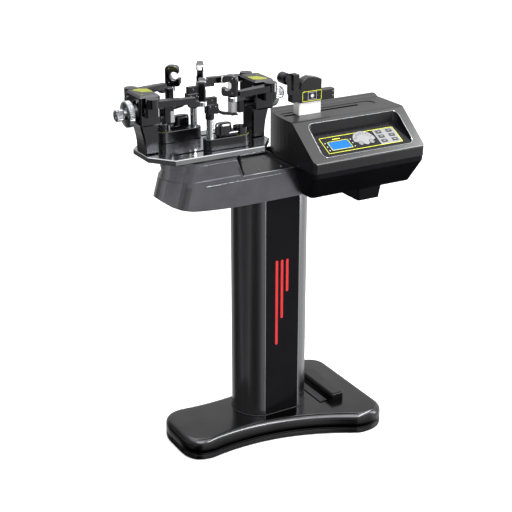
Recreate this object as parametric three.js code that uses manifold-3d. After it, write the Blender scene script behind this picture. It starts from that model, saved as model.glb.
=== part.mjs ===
// A floor-standing electronic racket stringing machine, in millimetres, Z up.
// The origin is on the floor, on the column's axis. X runs along the machine from the racket
// turntable (-X) to the control box (+X). The operator stands on the -Y side.
import * as THREE from 'three';
import { mergeVertices } from 'three/addons/utils/BufferGeometryUtils.js';
import Module from 'manifold-3d';

const wasm = await Module();
wasm.setup();

// ---------------------------------------------------------------- driving dimensions
const GAP = 0.3; // clearance between pieces that touch

const FOOT_HEIGHT = 61;
const FOOT_AXIS_Y = -12; // the foot casting's own long axis
const FOOT_EDGE_ROUND = 20;
const FOOT_WALL = 9;
const PLATE_THICKNESS = 6;
const RAIL = { x0: 160, x1: 200, y0: -105, y1: 75, top: 84 };
const TREAD_THICKNESS = 3;

const COLUMN_SIDE_RADIUS = 78.75;
const COLUMN_SIDE_X = 33.6;
const COLUMN_HALF_DEPTH = 75.6;
const COLUMN_WALL = 7;
const COLUMN_TOP = 727.7;
const CHANNEL_HALF_WIDTH = 54;
const CHANNEL_DEPTH = 3;

const ARM_HALF_WIDTH = 84;
const ARM_BOTTOM = 728;
const ARM_DECK = 811; // rim of the low deck
const ARM_TOP = 859; // top of the high end, under the turntable
const ARM_NOSE_X = -333; // the nose at deck height
const ARM_LEAN = 0.28; // how far the nose leans back for each unit of height
const ARM_BAND_DEPTH = 4; // how far the band round the high end is let in
const DECK_RECESS = 8;
const TURNTABLE_X = -208;
const PEDESTAL_RADIUS = 112;
const PEDESTAL_TOP_RADIUS = 100;

const BOX = { left: 36, right: 400, front: -178, rear: 112, bottom: 728, waist: 800, seam: 814 };
const BOX_TOP = 931;
const BOX_WALL = 5;
const FASCIA_ANGLE = 27; // degrees from the horizontal
const FASCIA_FRONT_Y = -166;
const FASCIA_FRONT_Z = 849;
const FASCIA_THICKNESS = 4;
const WELL = { x0: 72, x1: 372, y0: -165, y1: -76 };
const TRACK = { x0: 50, x1: 298, y: 8, slotHalf: 6, recessHalf: 22 };
const TENSION_SCREW_Z = 884;
const INLET = { x0: 306, x1: 378, z0: 846, z1: 878 };

// Control panel, measured along X (u) and up its slope (v) from the fascia's front edge.
const KEY_COLUMNS = [289, 324];
const KEY_ROWS = [66, 48, 30];
const KEY_HALF = { u: 9, v: 5.5 };
const ROUND_BUTTONS = [[213, 35], [249, 35]];
const ROUND_BUTTON_RADIUS = 7;
const LCD = { u0: 117, u1: 180, v0: 28, v1: 58 };

const TABLE_TOP = 893.5;
const TABLE_THICKNESS = 14.6;
const TABLE_HALF_LENGTH = 181;
const TABLE_HALF_WIDTH = 107;
const SLOT_Y = 62; // the clamp slots, either side of the turntable's long axis
const SLOT_HALF_LENGTH = 112;
const SLOT_HALF_WIDTH = 4;
const SPINDLE_RADIUS = 20;

const HEAD = { inner: 138, outer: 197, halfWidth: 44, bottom: 973, top: 1054 };
const SCREW_Z = 1001.7;
const GUIDE_ROD_Z = 984;
const GUIDE_ROD_Y = 15;
const EAR_TOP = 1028;
const ARM_PIVOT = { x: 172, y: 66 };
const HOOK_PIVOT = { x: 44, y: 90 };
const SIDE_ARM_BOTTOM = EAR_TOP + GAP;
const SIDE_ARM_TOP = 1052;
const SIDE_ARM_BAR = { bottom: 1030, top: 1046 };
const HOOK_BOTTOM = 1036;
const HOOK_HEIGHT = 56;
const HOOK_WIDTH = 44;
const HOOK_THICKNESS = 18;

const CLAMP_SHAFT_X = 8;
const CLAMP_LOCK_X = -82;
const CLAMP_BASE_TOP = 925;
const CLAMP_SHAFT_RADIUS = 9.5;
const CLAMP_SHAFT_TOP = 989;

// ---------------------------------------------------------------- solids from geometry
function toSolid(geometry) {
  const bare = geometry.clone();
  bare.deleteAttribute('normal');
  bare.deleteAttribute('uv');
  const merged = mergeVertices(bare, 1e-3);
  const points = new Float32Array(merged.attributes.position.array);
  const index = merged.index.array;
  const corners = [];
  for (let i = 0; i < index.length; i += 3) {
    const [a, b, c] = [index[i], index[i + 1], index[i + 2]];
    if (a !== b && b !== c && c !== a) corners.push(a, b, c);
  }
  if (signedVolume(points, corners) < 0) corners.reverse();
  return new wasm.Manifold(new wasm.Mesh({
    numProp: 3,
    vertProperties: points,
    triVerts: new Uint32Array(corners),
  }));
}

function signedVolume(points, corners) {
  const [a, b, c] = [new THREE.Vector3(), new THREE.Vector3(), new THREE.Vector3()];
  let total = 0;
  for (let i = 0; i < corners.length; i += 3) {
    a.fromArray(points, corners[i] * 3);
    b.fromArray(points, corners[i + 1] * 3);
    c.fromArray(points, corners[i + 2] * 3);
    total += a.dot(b.cross(c));
  }
  return total;
}

function toGeometry(solid) {
  const mesh = solid.getMesh();
  const geometry = new THREE.BufferGeometry();
  geometry.setAttribute('position', new THREE.BufferAttribute(new Float32Array(mesh.vertProperties), 3));
  geometry.setIndex(new THREE.BufferAttribute(new Uint32Array(mesh.triVerts), 1));
  geometry.computeVertexNormals();
  return geometry;
}

function union(...solids) {
  return solids.reduce((sum, next) => sum.add(next));
}

function cut(body, ...tools) {
  return tools.reduce((rest, tool) => rest.subtract(tool), body);
}

// Local x, y of a flat outline become world axes: X and Y for 'z', X and Z for 'y', Y and Z for 'x'.
function axisMatrix(axis) {
  const [x, y, z] = [new THREE.Vector3(1, 0, 0), new THREE.Vector3(0, 1, 0), new THREE.Vector3(0, 0, 1)];
  if (axis === 'x') return new THREE.Matrix4().makeBasis(y, z, x);
  if (axis === 'y') return new THREE.Matrix4().makeBasis(x, z, y.clone().negate());
  return new THREE.Matrix4();
}

// An outline swept along an axis from one level to another, with optional rounded or inset rims.
function prism(shape, axis, from, to, { bevel = 0, offset = 0, steps = 2, curve = 8 } = {}) {
  const length = to - from;
  const geometry = new THREE.ExtrudeGeometry(shape, {
    depth: length - 2 * bevel,
    curveSegments: curve,
    bevelEnabled: bevel > 0 || offset !== 0,
    bevelThickness: bevel,
    bevelSize: bevel,
    bevelOffset: offset - bevel,
    bevelSegments: bevel > 0 ? steps : 0,
  });
  const start = axis === 'y' ? -to : from;
  geometry.translate(0, 0, start + bevel);
  geometry.applyMatrix4(axisMatrix(axis));
  return toSolid(geometry);
}

function block(x0, x1, y0, y1, z0, z1) {
  const geometry = new THREE.BoxGeometry(x1 - x0, y1 - y0, z1 - z0);
  geometry.translate((x0 + x1) / 2, (y0 + y1) / 2, (z0 + z1) / 2);
  return toSolid(geometry);
}

// A round bar or disc along an axis, centred on (u, v) in the other two axes.
function round(axis, radius, u, v, from, to, segments = 24, endRadius = radius) {
  const geometry = new THREE.CylinderGeometry(endRadius, radius, to - from, segments);
  const middle = (from + to) / 2;
  if (axis === 'x') geometry.rotateZ(-Math.PI / 2).translate(middle, u, v);
  if (axis === 'y') geometry.translate(u, middle, v);
  if (axis === 'z') geometry.rotateX(Math.PI / 2).translate(u, v, middle);
  return toSolid(geometry);
}

// A body of revolution: the profile lists [radius, distance along the axis] from axis to axis.
function turned(profile, axis, u, v, segments = 28) {
  const geometry = new THREE.LatheGeometry(profile.map(([r, h]) => new THREE.Vector2(r, h)), segments);
  if (axis === 'x') geometry.rotateZ(-Math.PI / 2).translate(0, u, v);
  if (axis === 'y') geometry.translate(u, 0, v);
  if (axis === 'z') geometry.rotateX(Math.PI / 2).translate(u, v, 0);
  return toSolid(geometry);
}

function roundedRect(x0, y0, x1, y1, radius) {
  const shape = new THREE.Shape();
  shape.moveTo(x0 + radius, y0);
  shape.lineTo(x1 - radius, y0);
  shape.absarc(x1 - radius, y0 + radius, radius, -Math.PI / 2, 0);
  shape.lineTo(x1, y1 - radius);
  shape.absarc(x1 - radius, y1 - radius, radius, 0, Math.PI / 2);
  shape.lineTo(x0 + radius, y1);
  shape.absarc(x0 + radius, y1 - radius, radius, Math.PI / 2, Math.PI);
  shape.lineTo(x0, y0 + radius);
  shape.absarc(x0 + radius, y0 + radius, radius, Math.PI, Math.PI * 1.5);
  return shape;
}

function polygon(points) {
  return new THREE.Shape(points.map(([x, y]) => new THREE.Vector2(x, y)));
}

// ---------------------------------------------------------------- materials
const finish = {
  casting: { color: 0x3a3b3f, roughness: 0.35, metalness: 0.3 },
  gloss: { color: 0x101114, roughness: 0.18, metalness: 0.1 },
  graphite: { color: 0x4b4c52, roughness: 0.42, metalness: 0.35 },
  steel: { color: 0xc9cbd0, roughness: 0.2, metalness: 1 },
  chrome: { color: 0xe6e8ec, roughness: 0.08, metalness: 1 },
  black: { color: 0x17181b, roughness: 0.4, metalness: 0.1 },
  rubber: { color: 0x0c0c0d, roughness: 0.8, metalness: 0 },
  white: { color: 0xeceae6, roughness: 0.45, metalness: 0 },
  screen: { color: 0x1f8df0, roughness: 0.25, metalness: 0 },
  board: { color: 0x1f6b3a, roughness: 0.5, metalness: 0 },
};

const machine = new THREE.Group();

function place(name, solid, look, parent = machine) {
  const mesh = new THREE.Mesh(toGeometry(solid), new THREE.MeshStandardMaterial(finish[look]));
  mesh.name = name;
  parent.add(mesh);
  return mesh;
}

// ---------------------------------------------------------------- foot
// Half of the foot's outline as cubic curves, from the round toe under the turntable to the wide
// heel under the control box. The other half mirrors it about the foot's axis.
function footOutline() {
  const half = [
    [[-318, -28], [-318, -84], [-296, -108], [-248, -108]],
    [[-248, -108], [-100, -84], [40, -112], [178, -196]],
    [[178, -196], [205, -213], [288, -204], [288, -140]],
  ];
  const shape = new THREE.Shape();
  const at = ([x, y], side) => [x, FOOT_AXIS_Y + side * y];
  shape.moveTo(...at(half[0][0], 1));
  for (const [, c1, c2, end] of half) {
    shape.bezierCurveTo(...at(c1, 1), ...at(c2, 1), ...at(end, 1));
  }
  shape.lineTo(...at(half[2][3], -1));
  for (const [start, c1, c2] of half.toReversed()) {
    shape.bezierCurveTo(...at(c2, -1), ...at(c1, -1), ...at(start, -1));
  }
  return shape;
}

function footShell() {
  const outline = footOutline();
  const body = prism(outline, 'z', -30, FOOT_HEIGHT, { bevel: FOOT_EDGE_ROUND, steps: 4, curve: 6 });
  const floorCut = block(-400, 400, -300, 300, -60, 2);
  const inside = { bevel: 12, offset: -FOOT_WALL, steps: 1, curve: 5 };
  const hollow = prism(outline, 'z', -20, FOOT_HEIGHT - 8, inside);
  const groove = cut(
    prism(outline, 'z', 17, 21, { offset: 2, curve: 6 }),
    prism(outline, 'z', 16, 22, { offset: -3, curve: 6 }),
  );
  const post = prism(columnOutline(), 'z', PLATE_THICKNESS + GAP, FOOT_HEIGHT - 5, { curve: 6 });
  const railPlan = roundedRect(RAIL.x0, RAIL.y0, RAIL.x1, RAIL.y1, 5);
  const rail = prism(railPlan, 'z', FOOT_HEIGHT - 6, RAIL.top, { curve: 3 });
  return union(cut(body, floorCut, hollow, groove), post, rail);
}

function makeFoot() {
  place('base_shell', footShell(), 'casting');
  const plate = prism(footOutline(), 'z', 0, PLATE_THICKNESS, { offset: -FOOT_WALL - GAP, curve: 5 });
  place('base_plate', plate, 'steel');
  const inset = 3;
  const tread = roundedRect(RAIL.x0 + inset, RAIL.y0 + inset, RAIL.x1 - inset, RAIL.y1 - inset, 4);
  place('tread_outer', prism(tread, 'z', RAIL.top + GAP, RAIL.top + TREAD_THICKNESS, { curve: 3 }), 'rubber');
  const slim = polygon([[128, -92], [151, -67], [151, 70], [128, 70]]);
  place('tread_inner', prism(slim, 'z', FOOT_HEIGHT + GAP, FOOT_HEIGHT + TREAD_THICKNESS), 'rubber');
}

// ---------------------------------------------------------------- column
function columnOutline() {
  const turn = Math.acos((CHANNEL_HALF_WIDTH + 1.7 - COLUMN_SIDE_X) / COLUMN_SIDE_RADIUS);
  const shape = new THREE.Shape();
  shape.absarc(COLUMN_SIDE_X, 0, COLUMN_SIDE_RADIUS, -turn, turn);
  shape.absarc(-COLUMN_SIDE_X, 0, COLUMN_SIDE_RADIUS, Math.PI - turn, Math.PI + turn);
  return shape;
}

function makeColumn() {
  const bottom = FOOT_HEIGHT + GAP;
  const outline = columnOutline();
  const channel = CHANNEL_HALF_WIDTH + GAP;
  const channelFloor = COLUMN_HALF_DEPTH - CHANNEL_DEPTH;
  const tube = cut(
    prism(outline, 'z', bottom, COLUMN_TOP, { curve: 18 }),
    prism(outline, 'z', bottom - 5, COLUMN_TOP + 5, { offset: -COLUMN_WALL, curve: 8 }),
    block(-channel, channel, -90, -channelFloor, 0, 900),
    block(-channel, channel, channelFloor, 90, 0, 900),
  );
  place('column_tube', tube, 'graphite');
  const outer = COLUMN_HALF_DEPTH - 0.6;
  const inner = channelFloor + GAP;
  const [w, z0, z1] = [CHANNEL_HALF_WIDTH, bottom + 1, COLUMN_TOP - 1];
  place('column_front_panel', block(-w, w, -outer, -inner, z0, z1), 'gloss');
  place('column_rear_panel', block(-w, w, inner, outer, z0, z1), 'gloss');
}

// ---------------------------------------------------------------- turntable arm
// Shifts a swept solid's points along X in proportion to height, left of a given X only.
function lean(solid, level, rate, limit) {
  return solid.warp((point) => {
    if (point[0] < limit) point[0] += rate * (point[2] - level);
  });
}

function armPlan(right, halfWidth = ARM_HALF_WIDTH) {
  const centre = ARM_NOSE_X + ARM_HALF_WIDTH;
  const shape = new THREE.Shape();
  shape.moveTo(right, -halfWidth);
  shape.lineTo(right, halfWidth);
  shape.lineTo(centre, halfWidth);
  shape.absarc(centre, 0, halfWidth, Math.PI / 2, Math.PI * 1.5);
  return shape;
}

// Side view of the arm: the keel rises towards the nose in a bow, and the top steps up from the
// low deck to the high end under the turntable.
function armSide() {
  const shape = new THREE.Shape();
  shape.moveTo(70, ARM_BOTTOM);
  shape.lineTo(70, ARM_DECK);
  shape.lineTo(-131, ARM_DECK);
  shape.lineTo(-149, ARM_TOP);
  shape.lineTo(-370, ARM_TOP);
  shape.lineTo(-370, 790);
  shape.bezierCurveTo(-352, 760, -330, 744, -285, 738);
  shape.bezierCurveTo(-240, 732, -190, ARM_BOTTOM, -120, ARM_BOTTOM);
  return shape;
}

function armHousing(boxOuter) {
  const leaning = (right, half) => lean(
    prism(armPlan(right, half), 'z', ARM_BOTTOM - 2, ARM_TOP, { curve: 14 }),
    ARM_DECK,
    ARM_LEAN,
    ARM_NOSE_X + ARM_HALF_WIDTH + 1,
  );
  const outer = leaning(70, ARM_HALF_WIDTH).intersect(prism(armSide(), 'y', -100, 100, { curve: 5 }));
  const band = cut(
    leaning(-90, ARM_HALF_WIDTH + 10),
    leaning(-90, ARM_HALF_WIDTH - ARM_BAND_DEPTH),
  ).intersect(block(-400, -100, -100, 100, ARM_DECK + 4, ARM_TOP - 20));
  const deckPocket = block(-140, 33, 5 - ARM_HALF_WIDTH, ARM_HALF_WIDTH - 5, ARM_DECK - DECK_RECESS, 900);
  const hollow = block(-262, 80, 6 - ARM_HALF_WIDTH, ARM_HALF_WIDTH - 6, ARM_BOTTOM + 16, ARM_DECK - 14);
  const pedestalHalf = ARM_HALF_WIDTH - ARM_BAND_DEPTH;
  const pedestal = pedestalSolid(0).intersect(block(-400, 0, -pedestalHalf, pedestalHalf, 700, 900));
  const bore = round('z', SPINDLE_RADIUS + GAP, TURNTABLE_X, 0, 790, 900);
  return cut(union(cut(outer, band, deckPocket), pedestal), hollow, bore, boxOuter);
}

function pedestalSolid(grow) {
  const [bottom, top] = [ARM_DECK - DECK_RECESS, ARM_TOP + 7];
  return round('z', PEDESTAL_RADIUS + grow, TURNTABLE_X, 0, bottom, top, 40, PEDESTAL_TOP_RADIUS + grow);
}

function makeArm() {
  const boxOuter = union(boxLowerOuter(GAP), boxUpperOuter(GAP));
  place('arm_housing', armHousing(boxOuter), 'graphite');
  const floor = ARM_DECK - DECK_RECESS + GAP;
  const margin = 5 + GAP;
  const deck = cut(
    block(-120, 33 - GAP, margin - ARM_HALF_WIDTH, ARM_HALF_WIDTH - margin, floor, floor + 3),
    pedestalSolid(2),
    boxOuter,
  );
  place('arm_deck', deck, 'gloss');
  const ring = cut(
    round('z', 60, TURNTABLE_X, 0, ARM_TOP + 7 + GAP, ARM_TOP + 12, 32),
    round('z', SPINDLE_RADIUS + GAP, TURNTABLE_X, 0, ARM_TOP, ARM_TOP + 30),
  );
  place('turntable_bearing', ring, 'steel');
}

// ---------------------------------------------------------------- control box
// A swept rounded rectangle whose lower outline is smaller: every point is mapped between the two.
function taperedBox(top, bottom, z0, z1, radius) {
  const solid = prism(roundedRect(top.x0, top.y0, top.x1, top.y1, radius), 'z', z0, z1, { curve: 4 });
  return solid.warp((point) => {
    const rise = (point[2] - z0) / (z1 - z0);
    const u = (point[0] - top.x0) / (top.x1 - top.x0);
    const v = (point[1] - top.y0) / (top.y1 - top.y0);
    point[0] += (1 - rise) * (bottom.x0 + u * (bottom.x1 - bottom.x0) - point[0]);
    point[1] += (1 - rise) * (bottom.y0 + v * (bottom.y1 - bottom.y0) - point[1]);
  });
}

function boxLowerOuter(grow) {
  const rim = { x0: BOX.left - grow, y0: BOX.front - grow, x1: BOX.right + grow, y1: BOX.rear + grow };
  const keel = { x0: 60 - grow, y0: -126 - grow, x1: 392 + grow, y1: 84 + grow };
  const rimPlan = roundedRect(rim.x0, rim.y0, rim.x1, rim.y1, 14);
  const waist = prism(rimPlan, 'z', BOX.waist, BOX.seam, { curve: 4 });
  return union(waist, taperedBox(rim, keel, BOX.bottom - grow, BOX.waist, 14));
}

// Plan of the control box's top: straight front and right sides, and a left end that sweeps
// round into the rear side.
function boxPlan() {
  const shape = new THREE.Shape();
  shape.moveTo(BOX.left + 8, BOX.front);
  shape.lineTo(BOX.right - 8, BOX.front);
  shape.absarc(BOX.right - 8, BOX.front + 8, 8, -Math.PI / 2, 0);
  shape.lineTo(BOX.right, BOX.rear - 18);
  shape.absarc(BOX.right - 18, BOX.rear - 18, 18, 0, Math.PI / 2);
  shape.lineTo(100, BOX.rear);
  shape.bezierCurveTo(62, BOX.rear, 50, 86, 42, 52);
  shape.bezierCurveTo(34, 20, 30, -20, 32, -70);
  shape.lineTo(BOX.left, BOX.front + 8);
  return shape;
}

// Side view of the upper shell: lip, sloping console, flat top, low rounded ridge, rear wall.
function boxSide(inset) {
  const shape = new THREE.Shape();
  const floor = BOX.seam - inset;
  shape.moveTo(BOX.front + inset, floor);
  shape.lineTo(BOX.front + inset, 836 - inset);
  shape.quadraticCurveTo(BOX.front + inset, 842 - inset, BOX.front + 5 + inset, 845 - inset * 1.2);
  shape.lineTo(-70 + inset, 928 - inset * 1.2);
  shape.quadraticCurveTo(-66 + inset, BOX_TOP - inset, -58, BOX_TOP - inset);
  shape.lineTo(56, BOX_TOP - inset);
  shape.bezierCurveTo(66, BOX_TOP + 9 - inset, 88, BOX_TOP + 9 - inset, 100 - inset, BOX_TOP - 3 - inset);
  shape.quadraticCurveTo(BOX.rear - inset, BOX_TOP - 14, BOX.rear - inset, BOX_TOP - 36);
  shape.lineTo(BOX.rear - inset, floor);
  return shape;
}

function boxUpperOuter(grow) {
  const plan = prism(boxPlan(), 'z', BOX.seam - grow, 980, { offset: grow, curve: 6 });
  return plan.intersect(prism(boxSide(-grow), 'x', -50, 500, { curve: 5 }));
}

// The half-space above the fascia's plane, raised by a distance along the plane's normal.
function aboveFascia(raise) {
  const geometry = new THREE.BoxGeometry(900, 900, 400);
  geometry.translate(0, 0, 200 + raise);
  geometry.rotateX(THREE.MathUtils.degToRad(FASCIA_ANGLE));
  geometry.translate(200, FASCIA_FRONT_Y, FASCIA_FRONT_Z);
  return toSolid(geometry);
}

function wellPrism(grow) {
  const outline = roundedRect(WELL.x0 - grow, WELL.y0 - grow, WELL.x1 + grow, WELL.y1 + grow, 16 + grow);
  return prism(outline, 'z', 780, 990, { curve: 5 });
}

function boxUpper() {
  const outer = boxUpperOuter(0);
  const inner = prism(boxPlan(), 'z', BOX.seam - 20, 980, { offset: -BOX_WALL, curve: 6 })
    .intersect(prism(boxSide(BOX_WALL), 'x', -50, 500, { curve: 5 }));
  const wellFloor = -FASCIA_THICKNESS - GAP;
  const well = wellPrism(4).intersect(aboveFascia(wellFloor - 4)).intersect(outer);
  const pocket = wellPrism(0).intersect(aboveFascia(wellFloor));
  const slot = roundedRect(TRACK.x0, TRACK.y - TRACK.slotHalf, TRACK.x1, TRACK.y + TRACK.slotHalf, 5);
  const recess = roundedRect(TRACK.x0 - 6, TRACK.y - TRACK.recessHalf, 352, TRACK.y + TRACK.recessHalf, 20);
  const inlet = block(INLET.x0 - GAP, INLET.x1 + GAP, 90, 130, INLET.z0 - GAP, INLET.z1 + GAP);
  return cut(
    union(cut(outer, inner), well),
    pocket,
    prism(slot, 'z', 900, 960, { curve: 4 }),
    prism(recess, 'z', BOX_TOP - 1.5, 960, { curve: 8 }),
    inlet,
  );
}

function boxLower() {
  const rim = { x0: BOX.left + 5, y0: BOX.front + 5, x1: BOX.right - 5, y1: BOX.rear - 5 };
  const keel = { x0: 66, y0: -121, x1: 387, y1: 79 };
  const rimPlan = roundedRect(rim.x0, rim.y0, rim.x1, rim.y1, 10);
  const waist = prism(rimPlan, 'z', BOX.waist - 1, BOX.seam + 5, { curve: 3 });
  const hollow = union(waist, taperedBox(rim, keel, BOX.bottom + 5, BOX.waist, 10));
  return cut(boxLowerOuter(0), hollow, block(-50, 500, -200, 200, BOX.seam - GAP, BOX.seam + 5));
}

function makePowerInlet() {
  const [x0, x1, z0, z1] = [INLET.x0, INLET.x1, INLET.z0, INLET.z1];
  const back = BOX.rear;
  const rim = roundedRect(x0 - 4, z0 - 4, x1 + 4, z1 + 4, 3);
  const flange = prism(rim, 'y', back + GAP, back + 3, { curve: 2 });
  const body = block(x0, x1, back - 26, back + 1, z0, z1);
  const socket = block(x0 + 5, x0 + 35, back - 14, back + 10, z0 + 4, z1 - 4);
  const rockerSlot = block(x0 + 45, x0 + 66, back - 16, back + 10, z0 + 4, z1 - 4);
  const pins = [-8, 0, 8].map((shift) => (
    block(x0 + 19 + shift, x0 + 21 + shift, back - 16, back - 3, z0 + 12, z0 + 20)
  ));
  place('power_inlet', union(cut(union(flange, body), socket, rockerSlot), ...pins), 'black');
  const mid = (z0 + z1) / 2;
  const rocker = polygon([
    [back - 9, mid - 6], [back - 1, mid - 8.5], [back + 1, mid], [back + 5, mid + 8.5], [back - 9, mid + 6],
  ]);
  place('power_switch', prism(rocker, 'x', x0 + 46, x0 + 65), 'rubber');
}

function makeInternals() {
  const motor = union(
    round('x', 26, TRACK.y, TENSION_SCREW_Z, 318, 380, 28),
    round('x', 16, TRACK.y, TENSION_SCREW_Z, 306, 319, 20),
  );
  place('tension_motor', motor, 'steel');
  place('lead_screw', round('x', 6, TRACK.y, TENSION_SCREW_Z, 60, 305.5, 16), 'chrome');
  place('control_board', block(96, 348, -150, -60, 790, 792), 'board');
  const supply = taperedBox(
    { x0: 216, y0: -124, x1: 296, y1: -26 },
    { x0: 219, y0: -121, x1: 290, y1: -30 },
    692,
    BOX.bottom - GAP,
    6,
  );
  place('power_supply_cover', supply, 'black');
}

// ---------------------------------------------------------------- control panel
// Panel pieces are drawn flat, u along X, v up the slope and w out of the panel, in a group that
// is tilted about the fascia's front edge.
function makePanel() {
  const panel = new THREE.Group();
  panel.position.set(0, FASCIA_FRONT_Y, FASCIA_FRONT_Z);
  panel.rotation.x = THREE.MathUtils.degToRad(FASCIA_ANGLE);
  machine.add(panel);
  const [t, margin] = [FASCIA_THICKNESS, 1];
  const slope = 1 / Math.cos(panel.rotation.x);
  const outline = roundedRect(WELL.x0 + margin, 2 * slope, WELL.x1 - margin, 87 * slope, 16);
  const openings = [block(LCD.u0 - GAP, LCD.u1 + GAP, LCD.v0 - GAP, LCD.v1 + GAP, -t - 5, 5)];
  for (const [u, v] of ROUND_BUTTONS) {
    openings.push(round('z', ROUND_BUTTON_RADIUS + GAP, u, v, -t - 5, 5, 20));
  }
  const [keyU, keyV] = [KEY_HALF.u + GAP, KEY_HALF.v + GAP];
  for (const u of KEY_COLUMNS) {
    for (const v of KEY_ROWS) openings.push(block(u - keyU, u + keyU, v - keyV, v + keyV, -t - 5, 5));
  }
  place('control_fascia', cut(prism(outline, 'z', -t, 0, { curve: 4 }), ...openings), 'gloss', panel);
  place('lcd_display', block(LCD.u0, LCD.u1, LCD.v0, LCD.v1, -t, -0.6), 'screen', panel);
  place('dial_plate', dialPlate(), 'white', panel);
  ROUND_BUTTONS.forEach(([u, v], i) => {
    const button = round('z', ROUND_BUTTON_RADIUS, u, v, 1.6 - t, 1.4, 20);
    place(`round_button_${i + 1}`, button, 'white', panel);
  });
  let count = 0;
  for (const v of KEY_ROWS) {
    for (const u of KEY_COLUMNS) {
      count += 1;
      const key = roundedRect(u - KEY_HALF.u, v - KEY_HALF.v, u + KEY_HALF.u, v + KEY_HALF.v, 2);
      place(`key_${count}`, prism(key, 'z', 1.6 - t, 1.2, { curve: 2 }), 'black', panel);
    }
  }
}

// A thin fan-shaped plate around the two round buttons.
function dialPlate() {
  const shape = new THREE.Shape();
  shape.moveTo(266, 45);
  shape.absarc(231, 45, 35, 0, Math.PI);
  shape.lineTo(231, 26);
  const fan = prism(shape, 'z', GAP, 0.9, { curve: 12 });
  const clear = ROUND_BUTTONS.map(([u, v]) => round('z', ROUND_BUTTON_RADIUS + 1.5, u, v, -5, 5, 20));
  return cut(fan, ...clear);
}

// ---------------------------------------------------------------- tension head
function makeTensionHead() {
  const y = TRACK.y;
  const deck = BOX_TOP - 1.5 + GAP;
  const carriage = union(
    prism(roundedRect(90, y - 16, 162, y + 16, 3), 'z', deck, 968, { curve: 2 }),
    prism(roundedRect(92, 968, 168, 1042, 8), 'y', 0, y + 16, { curve: 4 }),
    block(94, 162, 0, y + 16, 960, 975),
    block(104, 152, y - 5, y + 5, 900, deck + 1),
    block(104, 152, y - 13, y + 13, 868, 902),
  );
  const nutBore = round('x', 7, y, TENSION_SCREW_Z, 90, 170, 20);
  place('tension_carriage', cut(carriage, nutBore), 'white');

  const face = new THREE.Shape();
  face.moveTo(83, 969);
  face.lineTo(196, 969);
  face.lineTo(196, 998);
  face.lineTo(157, 998);
  face.lineTo(153, 1004);
  face.lineTo(153, 1030);
  face.quadraticCurveTo(140, 1037, 112, 1040);
  face.quadraticCurveTo(83, 1036, 83, 1004);
  const housing = union(
    prism(face, 'y', -25, -GAP, { bevel: 2, steps: 1, curve: 5 }),
    block(58, 84, -25, -GAP, 973, 1008),
    block(62, 80, -24, -15, 1006, 1050),
    block(46, 60, -25, -18, 996, 1008),
    block(44, 54, -25, -18, 1000, 1034),
    round('y', 4, 44, 1040, -20, 4, 14),
    round('y', 9, 44, 1040, -25, -19.5, 18),
    block(40, 50, -25, -19.5, 1026, 1040),
  );
  place('gripper_housing', housing, 'graphite');
  place('gripper_jaw', block(62, 80, -9.5, -1, 1008.5, 1050), 'black');
  const guide = cut(round('y', 16, 44, 1040, -17.7, 9, 28), round('y', 4.4, 44, 1040, -30, 4.6, 16));
  place('string_guide', guide, 'black');
}

// ---------------------------------------------------------------- turntable
const table = new THREE.Group();
table.position.set(TURNTABLE_X, 0, 0);
machine.add(table);

function makeTablePlate() {
  const [a, b, cx, cy] = [TABLE_HALF_LENGTH, TABLE_HALF_WIDTH, 50, 63];
  const octagon = polygon([
    [-a, cy - b], [cx - a, -b], [a - cx, -b], [a, cy - b],
    [a, b - cy], [a - cx, b], [cx - a, b], [-a, b - cy],
  ]);
  const slots = [-1, 1].map((side) => {
    const slot = roundedRect(
      -SLOT_HALF_LENGTH,
      side * SLOT_Y - SLOT_HALF_WIDTH,
      SLOT_HALF_LENGTH,
      side * SLOT_Y + SLOT_HALF_WIDTH,
      SLOT_HALF_WIDTH - 0.1,
    );
    return prism(slot, 'z', 860, 920, { curve: 4 });
  });
  const plate = prism(octagon, 'z', TABLE_TOP - TABLE_THICKNESS, TABLE_TOP, { bevel: 1.5, steps: 1 });
  place('turntable_plate', cut(plate, ...slots), 'steel', table);
  const spindle = union(
    round('z', 56, 0, 0, ARM_TOP + 12 + GAP, TABLE_TOP - TABLE_THICKNESS - GAP, 32),
    round('z', SPINDLE_RADIUS, 0, 0, 802, ARM_TOP + 13, 24),
  );
  place('turntable_spindle', spindle, 'steel', table);
}

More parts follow.
